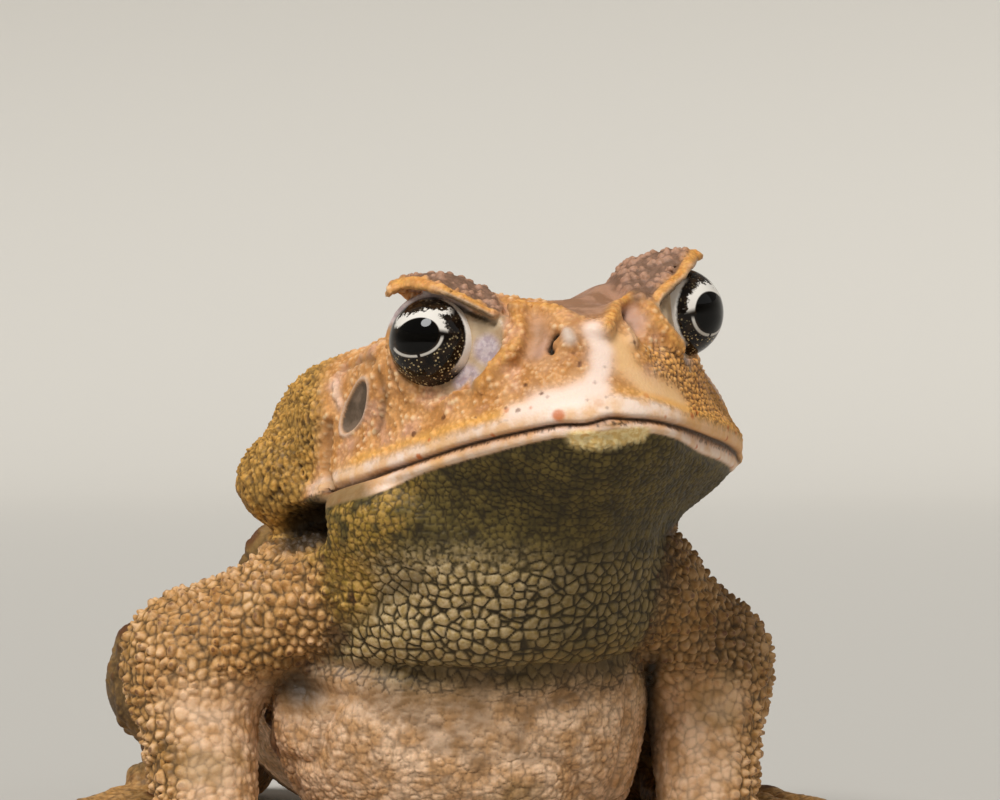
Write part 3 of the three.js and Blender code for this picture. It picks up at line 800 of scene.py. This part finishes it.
lower_front = fade(z + 1.6 * noise(points, 6, 60), 31.5, 26.5)
bib = front * fade(z, 50, 43) * (0.25 + 0.75 * fade(x, 14, -4)) * fade(x, -21, -17)
near_lip = jaw * fade(up_z, lower_edge - 1.6, lower_edge)
grown(front * (1 - lower_lip) * (1 - lower_front) * (1 - near_lip), throat_granules)
grown(front * lower_front, chest_wrinkles)
# the throat's dark olive is partly its own colour and partly painted shade, as it lies under the jaw
marks["throat"] = front * (1 - lower_lip)
shoulder_patch = fade(off(points, (-18.2, -16, 42.5), (1, 2, 1.5)), 5.5, 2.5)
jowl_patch = jaw * fade(side_x, -20, -25) * fade(up_z, lower_edge + 0.2, lower_edge - 0.6)
jowl_patch *= fade(noise(points, 1.2, 46), -0.5, 0.4)
marks["yellow"] = np.maximum(shoulder_patch, 0.8 * jowl_patch)
# painted shade: a dark olive band along the fold across the chest
marks["olive"] = front * bell(z - 30.5 - 0.08 * (x - 4), 4.5) * fade(np.abs(x - 6), 26, 10)
marks["chest"] = front * lower_front

# loose folds, with widths and depths: across the chest, under it, and two down from the shoulder
FOLDS = [([(-25, -9.5, 30.8), (-18, -14.2, 30.2), (-11, -17.7, 29.8), (-4, -19.7, 29.5),
           (3, -20.4, 29.3), (10, -19.7, 29.6), (17, -17, 30), (25, -10.6, 31.4)], 1.3, 1.6),
         ([(-24, -8, 27), (-15, -14, 24.5), (-6, -17, 22)], 1.5, 0.9),
         ([(-20.7, -13.2, 34), (-14.2, -19.2, 40), (-9, -25, 43)], 1.8, 0.4),
         ([(-22.4, -13, 47.5), (-17, -19, 47), (-11.7, -23.4, 46)], 1.3, 0.7)]
for route, width, depth in FOLDS:
    fold = stroke(points + 0.8 * noise(points, 4, 61)[:, None] * [0, 0, 1], route, width) * (1 - on_head)
    relief -= depth * fold
    # painted shade in each fold
    marked("painted_shade", 0.36 * fold)

# the shade under the arms and behind the jaw
marked("painted_shade", bell(off(points, (-25, -14, 26.8), (4.5, 15, 3.6))))
marked("painted_shade", bell(x - 26.4, 1.6) * fade(z, 33, 29) * (y < 6) * (1 - on_leg))
marked("painted_shade", 0.9 * fade(blob(points, *NECK_HOLLOW), 0.9, -0.2))


# poison glands: swollen, golden, pierced by oval pores that run slanting down and forward
def gland_pores(p, here):
    slanted = (p + 0.5 * noise(p, 2, 64)[:, None]) @ turned(pitch=20, roll=-32) * [1, 1, 0.42]
    dome, gap, pit = pavement(slanted, 0.95, 61)
    hole = warts(slanted, 0.85, 0.7, 65)
    marked("pit", np.maximum(fade(hole, 0.25, 0.7), 0.7 * pit) * on_gland[here], here)
    # painted shade in the gaps
    marked("painted_shade", 0.3 * gap * on_gland[here], here)
    # painted highlight: the domes on the gland's upper part are made lighter, as the light from above falls
    # on them
    marked("gold_and_highlight", 0.4 * fade(dome, 0.7, 1) * on_gland[here] * fade(p[:, 2], 50, 58), here)
    return 0.2 * dome - 0.3 * fade(hole, 0.2, 0.7) + 0.5 * noise(p, 3.5, 63)


grown(on_gland, gland_pores)
marks["gland"] = on_gland


# arms: close-set warts, many of them with a pointed dark tip
def arm_warts(p, here):
    moved = bent(p, 0.5, 2, 73)
    cone, gap, pit = pavement(moved, 1.5, 71)
    spine = warts(moved, 1.5, 1, 71)
    marked("tip", fade(spine, 0.7, 0.9) * fade(noise(p, 3, 72), -0.6, -0.2) * (1 - inner_arm[here]), here)
    marked("pale", 0.8 * fade(cone, 0.6, 1) * fade(noise(p, 4, 76), -0.6, 0.3), here)
    # painted shade in the gaps and pits between the warts, weaker on the arm's inner side
    marked("painted_shade", (0.3 * gap + 0.4 * pit) * (1 - 0.6 * inner_arm[here]), here)
    return 0.3 * cone + 0.65 * fade(spine, 0, 0.9)


inward = -out[:, 0] * np.sign(x)
inner_arm = fade(z, 31, 24) * fade(0.5 * inward - out[:, 1], 0.3, 0.9)
inner_arm = on_arm * np.maximum(fade(inward, 0.15, 0.6), inner_arm)
grown(on_arm * (1 - 0.75 * inner_arm) * (1 - digit), arm_warts)
marks["limb"] = np.maximum(on_arm, on_leg)
# painted shade: the far arm's upper outer part takes the back's darker colour
marks["back"] = 0.55 * on_arm * (x > 0) * fade(z, 18, 30) * (1 - inner_arm)
marks["chest"] = np.maximum(marks["chest"], 0.9 * inner_arm * fade(z, 40, 25))


# back, flanks and hind legs: large dark-tipped warts among small ones
def back_warts(p, here):
    large = warts(p + 20, 6.5, 0.55, 81)
    small = warts(p, 2.6, 0.6, 82)
    dome, gap, pit = pavement(p, 1.5, 83)
    marked("tip", np.maximum(fade(large, 0.5, 0.9), 0.6 * fade(small, 0.5, 0.9)), here)
    # painted shade in the gaps between the small granules, away from the large warts
    marked("painted_shade", 0.35 * gap * (1 - fade(large, 0.1, 0.5)), here)
    return 1.5 * large + 0.55 * small + 0.14 * dome + 0.4 * noise(p, 9, 84)


toes = fade(z, 9, 5) * (on_leg > 0.5)
rest = (1 - on_head) * (1 - on_gland) * (1 - on_arm) * (1 - front) * (1 - 0.8 * toes)
grown(rest, back_warts)
marks["back"] = np.maximum(marks["back"], rest)


# fingers and toes: nearly smooth, ringed with fine wrinkles
def ringed(p, here):
    return 0.1 * np.sin(p[:, 1] * 5 + 2 * noise(p, 3, 91)) + 0.12 * warts(p, 1.4, 0.5, 92)


grown(np.maximum(digit, toes), ringed)

# what rests on the floor stays flat
RESTING = 0.02
final = points + relief[:, None] * out
final[:, 2] = np.where(points[:, 2] < RESTING, 0, np.maximum(final[:, 2], 0))
loops = np.concatenate([small_quads.ravel(), ring[taken]])
sizes = np.concatenate([np.full(len(small_quads), 4), taken.sum(1)])


def mesh_piece(name, places, loops, sizes):
    """A smooth mesh object from places in millimetres and the corners of its faces."""
    mesh = bpy.data.meshes.new(name)
    mesh.vertices.add(len(places))
    mesh.vertices.foreach_set("co", ((places - ORIGIN) / 1000).astype(np.float32).ravel())
    mesh.loops.add(len(loops))
    mesh.loops.foreach_set("vertex_index", loops.astype(np.int32))
    mesh.polygons.add(len(sizes))
    mesh.polygons.foreach_set("loop_start", (np.cumsum(sizes) - sizes).astype(np.int32))
    mesh.polygons.foreach_set("use_smooth", np.ones(len(sizes), bool))
    mesh.update(calc_edges=True)
    piece = bpy.data.objects.new(name, mesh)
    bpy.context.scene.collection.objects.link(piece)
    return piece


def attribute(piece, name, values):
    layer = piece.data.attributes.new(name, "FLOAT", "POINT")
    layer.data.foreach_set("value", values.astype(np.float32))


hide = mesh_piece("skin", final, loops, sizes)
PAINTED_SHADE_CURVE = 1.7                     # how fast the painted shade darkens as its mark grows
marks["painted_shade"] = 1 - (1 - np.clip(marks["painted_shade"], 0, 1)) ** PAINTED_SHADE_CURVE
for name, values in marks.items():
    attribute(hide, name, np.clip(values, 0, 1))


def colour(code):
    """A linear colour from the six digits that name it. A colour that is worked out stays as it is."""
    if not isinstance(code, str):
        return code
    parts = [int(code[i:i + 2], 16) / 255 for i in (0, 2, 4)]
    return tuple(c / 12.92 if c < 0.04045 else ((c + 0.055) / 1.055) ** 2.4 for c in parts) + (1,)


def feed(node, inputs):
    """Sets a node's sockets to values, or links other sockets to them."""
    for name, value in inputs.items():
        if isinstance(value, Socket):
            value.tree.links.new(value.socket, node.inputs[name])
        else:
            node.inputs[name].default_value = value


class Socket:
    """A socket in a material's nodes. Sums on it add Math nodes."""

    def __init__(self, tree, socket=None):
        self.tree = tree
        self.socket = socket

    def node(self, kind, settings=None, inputs=None, output=0):
        """Adds a node: its settings first, then the values or links of its sockets."""
        node = self.tree.nodes.new(kind)
        for name, value in (settings or {}).items():
            setattr(node, name, value)
        feed(node, inputs or {})
        return Socket(self.tree, node.outputs[output])

    def attribute(self, name):
        return self.node("ShaderNodeAttribute", {"attribute_name": name}, output=2)

    def clouds(self, scale, detail):
        return self.node("ShaderNodeTexNoise", {}, {"Vector": self, "Scale": scale, "Detail": detail})

    def grains(self, scale):
        return self.node("ShaderNodeTexVoronoi", {"feature": "F1"}, {"Vector": self, "Scale": scale})

    def maths(self, operation, *values):
        return self.node("ShaderNodeMath", {"operation": operation}, dict(enumerate(values)))

    def __add__(self, other):
        return self.maths("ADD", self, other)

    def __sub__(self, other):
        return self.maths("SUBTRACT", self, other)

    def __rsub__(self, other):
        return self.maths("SUBTRACT", other, self)

    def __mul__(self, other):
        return self.maths("MULTIPLY", self, other)

    def __truediv__(self, other):
        return self.maths("DIVIDE", self, other)

    def __pow__(self, other):
        return self.maths("POWER", self, other)

    __radd__, __rmul__ = __add__, __mul__

    def above(self, other):
        return self.maths("MAXIMUM", self, other)

    def fade(self, start, end):
        """0 at start and 1 at end, smooth between them."""
        settings = {"interpolation_type": "SMOOTHSTEP"}
        inputs = {"Value": self, "From Min": start, "From Max": end}
        return self.node("ShaderNodeMapRange", settings, inputs)

    def tint(self, first, second):
        """A colour between two, by this value."""
        inputs = {0: self, 6: colour(first), 7: colour(second)}
        return self.node("ShaderNodeMix", {"data_type": "RGBA"}, inputs, 2)

    def mixed(self, other, factor):
        """A colour turned towards another one."""
        return factor.tint(self, other)


def finish(name):
    """A new material: its nodes to build with, and the shader that they feed."""
    material = bpy.data.materials.new(name)
    material.use_nodes = True
    return material, Socket(material.node_tree), material.node_tree.nodes["Principled BSDF"]


def hide_finish():
    """Toad skin: tan and orange on the face, gold on the glands, olive on the throat, with painted shade in
    gaps, creases and hollows and a painted highlight on the glands.
    """
    material, nodes, shader = finish("toad_hide")
    mark = {name: nodes.attribute(name) for name in marks}
    place = nodes.node("ShaderNodeTexCoord", output="Object")

    def cloudy(scale, detail, offset):
        """Clouds of their own, unlike those of another offset."""
        settings, inputs = {"operation": "ADD"}, {0: place, 1: (offset,) * 3}
        return nodes.node("ShaderNodeVectorMath", settings, inputs).clouds(scale, detail)

    broad, medium, fine = cloudy(90, 3, 0.0), cloudy(350, 4, 1.0), cloudy(1300, 4, 2.0)
    mottled, speckled = medium.fade(0.35, 0.65), fine.fade(0.4, 0.6)
    dull, patchy = medium.fade(0.4, 0.6), broad.fade(0.5, 0.7)

    skin = medium.fade(0.35, 0.68).tint("c98a4a", "e2a668").mixed("a8724c", broad.fade(0.52, 0.72) * 0.5)
    skin = skin.mixed("dcaa92", cloudy(170, 3, 4.0).fade(0.48, 0.66) * 0.55)
    skin = skin.mixed("e89c48", fine.fade(0.56, 0.72) * 0.35)
    skin = skin.mixed("f4d2a4", mark["pale"] * (1 - mark["brow"]) * 0.75)
    arm = fine.fade(0.35, 0.65).tint("b98648", "d6a468").mixed("8c6a30", patchy * 0.4)
    back = broad.fade(0.35, 0.6).tint("8a6a3c", "5c4426").mixed("a07c46", fine.fade(0.45, 0.7) * 0.5)
    chest = mottled.tint("cb9c6c", "f0c8a2").mixed("9a7a44", broad.fade(0.55, 0.7) * 0.5)
    gland = fine.fade(0.35, 0.65).tint("ae8038", "d6a454").mixed("86682c", patchy * 0.5)
    lip = mottled.tint("e8ba8c", "f8deca").mixed("eeb468", broad.fade(0.5, 0.62) * 0.5)

    # each mark's strength and colour, one laid over the other
    layers = {
        "limb": (1, arm.mixed("f0c89c", mark["pale"] * 0.75)),
        # the back's dark browns are partly its own colour and partly painted shade
        "back": (1, back),
        # partly the throat's own olive, partly painted shade
        "throat": (1, medium.fade(0.3, 0.7).tint("453a18", "6b5a2a")),
        "bib": (1, fine.fade(0.3, 0.7).tint("a88c54", "d2b88c")),
        "chest": (1, chest),
        # painted shade along the chest's fold
        "olive": (0.75, mottled.tint("5c4c20", "8a7040")),
        "yellow": (0.85, speckled.tint("a8842e", "d2a450")),
        "gland": (1, gland),
        "brow": (1, speckled.tint("a37c62", "b98e74")),
        "forehead": (0.85, dull.tint("8d6a54", "a8806a")),
        "lore": (0.9, dull.tint("a07e64", "ba927c")),
        # the lips', snout's and far cheek's own gold, and a painted highlight on the glands' upper domes
        "gold_and_highlight": (0.8, "f0b058"),
        "ridge": (1, speckled.tint("d98e3c", "ecae58")),
        "lip": (1, lip),
        "stripe": (0.9, "fae2d2"),
        "mouth": (0.7, "a8683c"),
        "chin": (1, speckled.tint("fae0a4", "e6c078")),
        "lid": (1, mottled.tint("cbb393", "b89a78")),
        "lilac": (1, speckled.tint("d2c2c2", "b9a6ac")),
        "cream": (0.9, "d8cabc"),
        "drum": (1, dull.tint("5c4c3c", "7a6654")),
        "spot": (0.85, "cc6c2c"),
        "tip": (0.8, "5a2f16"),
        "pit": (0.8, "3a2410"),
        # painted shade: a dark brown laid into gaps, pits, creases and hollows
        "painted_shade": (1, "241a0c"),
    }
    for name, (strength, tint) in layers.items():
        skin = skin.mixed(tint, mark[name] * strength)

    height = (fine + 1 - place.grains(2300)) * 0.5
    bump = nodes.node("ShaderNodeBump", {}, {"Strength": 0.35, "Distance": 0.0002, "Height": height})
    rough = 0.48 + 0.2 * medium - 0.2 * mark["lid"] - 0.12 * mark["lip"]
    feed(shader, {"Base Color": skin, "Roughness": rough, "Normal": bump, "Specular IOR Level": 0.3,
                  "Subsurface Weight": 0.06, "Subsurface Radius": (0.0012, 0.0006, 0.0003),
                  "Subsurface Scale": 1.0})
    return material


hide.data.materials.append(hide_finish())
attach(hide, "root")
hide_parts(*(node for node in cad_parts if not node.startswith("eye_")))


# The eyes
# Each is a wet globe with a slightly bulging clear front. The iris is nearly black, powdered with
# gold and silver, with a bright band over a level oval pupil, and white shows at its front edge.
GAZE = {"right": dict(yaw=36, lift=3), "left": dict(yaw=32, lift=-12)}
PUPIL_HEIGHT = {"right": 1.15, "left": 1.35}
MORE_WHITE = {"right": 0.0, "left": 0.18}      # the left eye shows more white and less of its band
CORNEA = dict(height=0.35, width=38)   # the front's bulge in millimetres, and how wide it is in degrees
EYE_RINGS, EYE_SPOKES = 62, 128


def lathed(rows, around, closed=False):
    """The corners and sizes of the faces from a pole over rows of places, to a second pole if closed."""
    faces = [(0, 1 + i, 1 + (i + 1) % around) for i in range(around)]
    for start in range(1, 1 + (rows - 1) * around, around):
        faces += [(start + i, start + around + i, start + around + (i + 1) % around,
                   start + (i + 1) % around) for i in range(around)]
    if closed:
        last = 1 + rows * around
        faces += [(last, last - around + (i + 1) % around, last - around + i) for i in range(around)]
    return np.concatenate(faces), np.array([len(face) for face in faces])


def eyeball(name):
    side = SIDES[name]
    centre = np.mean(eye_corners(name), axis=0) + ORIGIN
    yaw, lift = radians(GAZE[name]["yaw"]), radians(GAZE[name]["lift"])
    gaze = np.array([sin(yaw) * cos(lift), -cos(yaw) * cos(lift), sin(lift)])
    ahead = np.array([-cos(yaw), -sin(yaw), 0])
    above = np.cross(ahead, gaze)
    above = above * np.sign(above[2])
    lean = np.linspace(0, np.pi, EYE_RINGS + 2)[1:-1]
    turn = np.arange(EYE_SPOKES) * 2 * np.pi / EYE_SPOKES
    turn = turn * side * np.sign(np.linalg.det([ahead, above, gaze]))     # keeps the faces outward
    local = np.array([(0, 0, 1)] + [(sin(a) * cos(t), sin(a) * sin(t), cos(a))
                                    for a in lean for t in turn] + [(0, 0, -1)])
    bulge = CORNEA["height"] * bell(np.degrees(np.arccos(local[:, 2])), CORNEA["width"])
    places = (EYE_RADIUS + bulge)[:, None] * (local @ np.array([ahead, above, gaze]))
    places = centre + (places * [side, 1, 1]) @ HEAD_TURN.T
    piece = mesh_piece(f"eye_globe_{name}", places, *lathed(EYE_RINGS, EYE_SPOKES, closed=True))
    for axis, values in zip(("ahead", "above", "gaze"), (local / [1, PUPIL_HEIGHT[name], 1]).T):
        attribute(piece, axis, values)
    attribute(piece, "shift", np.full(len(local), MORE_WHITE[name]))
    return piece


def eye_finish():
    material, nodes, shader = finish("toad_eye")
    ahead, above, gaze, shift = map(nodes.attribute, ("ahead", "above", "gaze", "shift"))
    place = nodes.node("ShaderNodeTexCoord", output="Object")
    rough, ragged, fleck = place.clouds(900, 4), place.clouds(2300, 3), place.grains(2000)
    jagged = (rough - 0.5) * 0.3 + (ragged - 0.5) * 0.35

    # the pupil is a level oval, blunter towards the snout, with a bright band over it, a thin ring
    # under it, specks below, and the white at the globe's front edge
    oval = ((ahead / (0.50 - 0.10 * ahead)) ** 2 + (above / 0.31) ** 2) ** 0.5
    front = gaze.fade(0.0, 0.2)
    level = above + jagged
    band = level.fade(0.28, 0.33) * (1 - level.fade(0.43, 0.48)) * ahead.fade(-0.62, -0.5)
    band = band * (1 - (ahead + shift * 2.5).fade(0.6, 0.75))
    hugging = (1 - (oval + jagged * 1.5).fade(1.35, 1.5)) * (above + ahead * 0.25).fade(0.1, 0.2)
    band = band.above(hugging) * oval.fade(1.02, 1.08)
    ring = oval.fade(1.08, 1.13) * (1 - oval.fade(1.2, 1.27)) * (0 - above).fade(0.06, 0.14)
    ring = ring * ((ahead + 0.04) ** 2).fade(0.0006, 0.0018)
    speckled = (1 - (fleck + jagged).fade(0.2, 0.36)) * rough.fade(0.4, 0.52)
    # painted shade: the specks fade out towards the top of the iris, under the lid
    speckled = speckled * oval.fade(1.2, 1.4) * (0.15 + 0.85 * (0 - above).fade(-0.05, 0.45))
    white = 1 - (gaze - shift + jagged * 0.1).fade(0.42, 0.47)
    white = white * ahead.fade(0.3, 0.6) * above.fade(-0.75, -0.5)

    iris = rough.fade(0.4, 0.7).tint("120d09", "2e2115").mixed("cdb98c", speckled)
    iris = iris.mixed("e8e2d8", (band * front).above(ring * front * 0.8))
    iris = iris.mixed("050403", (1 - oval.fade(0.97, 1.03)) * front)
    iris = iris.mixed("fffaf2", white)
    feed(shader, {"Base Color": iris, "Roughness": 0.4, "Specular IOR Level": 0.0,
                  "Coat Weight": 1.0, "Coat Roughness": 0.02, "Coat IOR": 1.3})
    return material


wet_eye = eye_finish()
for name in SIDES:
    globe = eyeball(name)
    globe.data.materials.append(wet_eye)
    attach(globe, "root")
    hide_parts(f"eye_{name}")


# The floor, the light and the camera
# A plain pale sweep: a round floor that curves up into a low wall on all sides. The light is one
# large soft source, high and to the front of the toad's right, with a weak one opposite it.
SWEEP = dict(floor=1600, curve=600, wall=900)      # floor radius, curve radius, wall height
SWEEP_SPOKES = 96


def plain_sweep():
    floor, curve, wall = SWEEP.values()
    bend = np.linspace(0, np.pi / 2, 12)
    profile = [(floor + curve * sin(a), curve * (1 - cos(a))) for a in bend] + [(floor + curve, wall)]
    turn = np.arange(SWEEP_SPOKES) * 2 * np.pi / SWEEP_SPOKES
    places = [(0, 0, 0)] + [(r * cos(t), r * sin(t), height) for r, height in profile for t in turn]
    piece = mesh_piece("sweep", ORIGIN + np.array(places), *lathed(len(profile), SWEEP_SPOKES))
    material, nodes, shader = finish("pale_sweep")
    feed(shader, {"Base Color": colour("c4c0b8"), "Roughness": 0.9})
    piece.data.materials.append(material)


def sun(name, direction, strength, softness):
    light = bpy.data.lights.new(name, "SUN")
    light.energy = strength
    light.angle = radians(softness)
    piece = bpy.data.objects.new(name, light)
    piece.rotation_euler = (-Vector(direction)).to_track_quat("-Z", "Y").to_euler()
    bpy.context.scene.collection.objects.link(piece)


plain_sweep()
sun("key", (-0.32, -0.52, 0.80), 3.0, 24)
sun("fill", (0.75, -0.5, 0.35), 0.35, 60)
world = bpy.data.worlds.new("studio")
world.use_nodes = True
feed(world.node_tree.nodes["Background"], {"Color": colour("e9e6e0"), "Strength": 0.22})
bpy.context.scene.world = world
bpy.context.scene.view_settings.view_transform = "Standard"

VIEW_AZIMUTH = -7                      # degrees, from the toad's right
VIEW_HEIGHT = 68                       # millimetres above the floor
VIEW_DISTANCE = 420                    # from the lip
VIEW_WIDTH = 1000 / 7.5                # width of the picture at the lip: 1000 pixels of 7.5 to a millimetre
azimuth = radians(VIEW_AZIMUTH)
right = np.array([cos(azimuth), sin(azimuth), 0])
forward = np.array([-sin(azimuth), cos(azimuth), 0])
camera = bpy.data.objects.new("camera", bpy.data.cameras.new("camera"))
camera.data.sensor_width = 36
camera.data.lens = 36 * VIEW_DISTANCE / VIEW_WIDTH
target = LIP - LIP[0] * right
target[2] = VIEW_HEIGHT
camera.location = (target - VIEW_DISTANCE * forward - ORIGIN) / 1000
camera.rotation_euler = (radians(90), 0, azimuth)
bpy.context.scene.collection.objects.link(camera)
bpy.context.scene.camera = camera
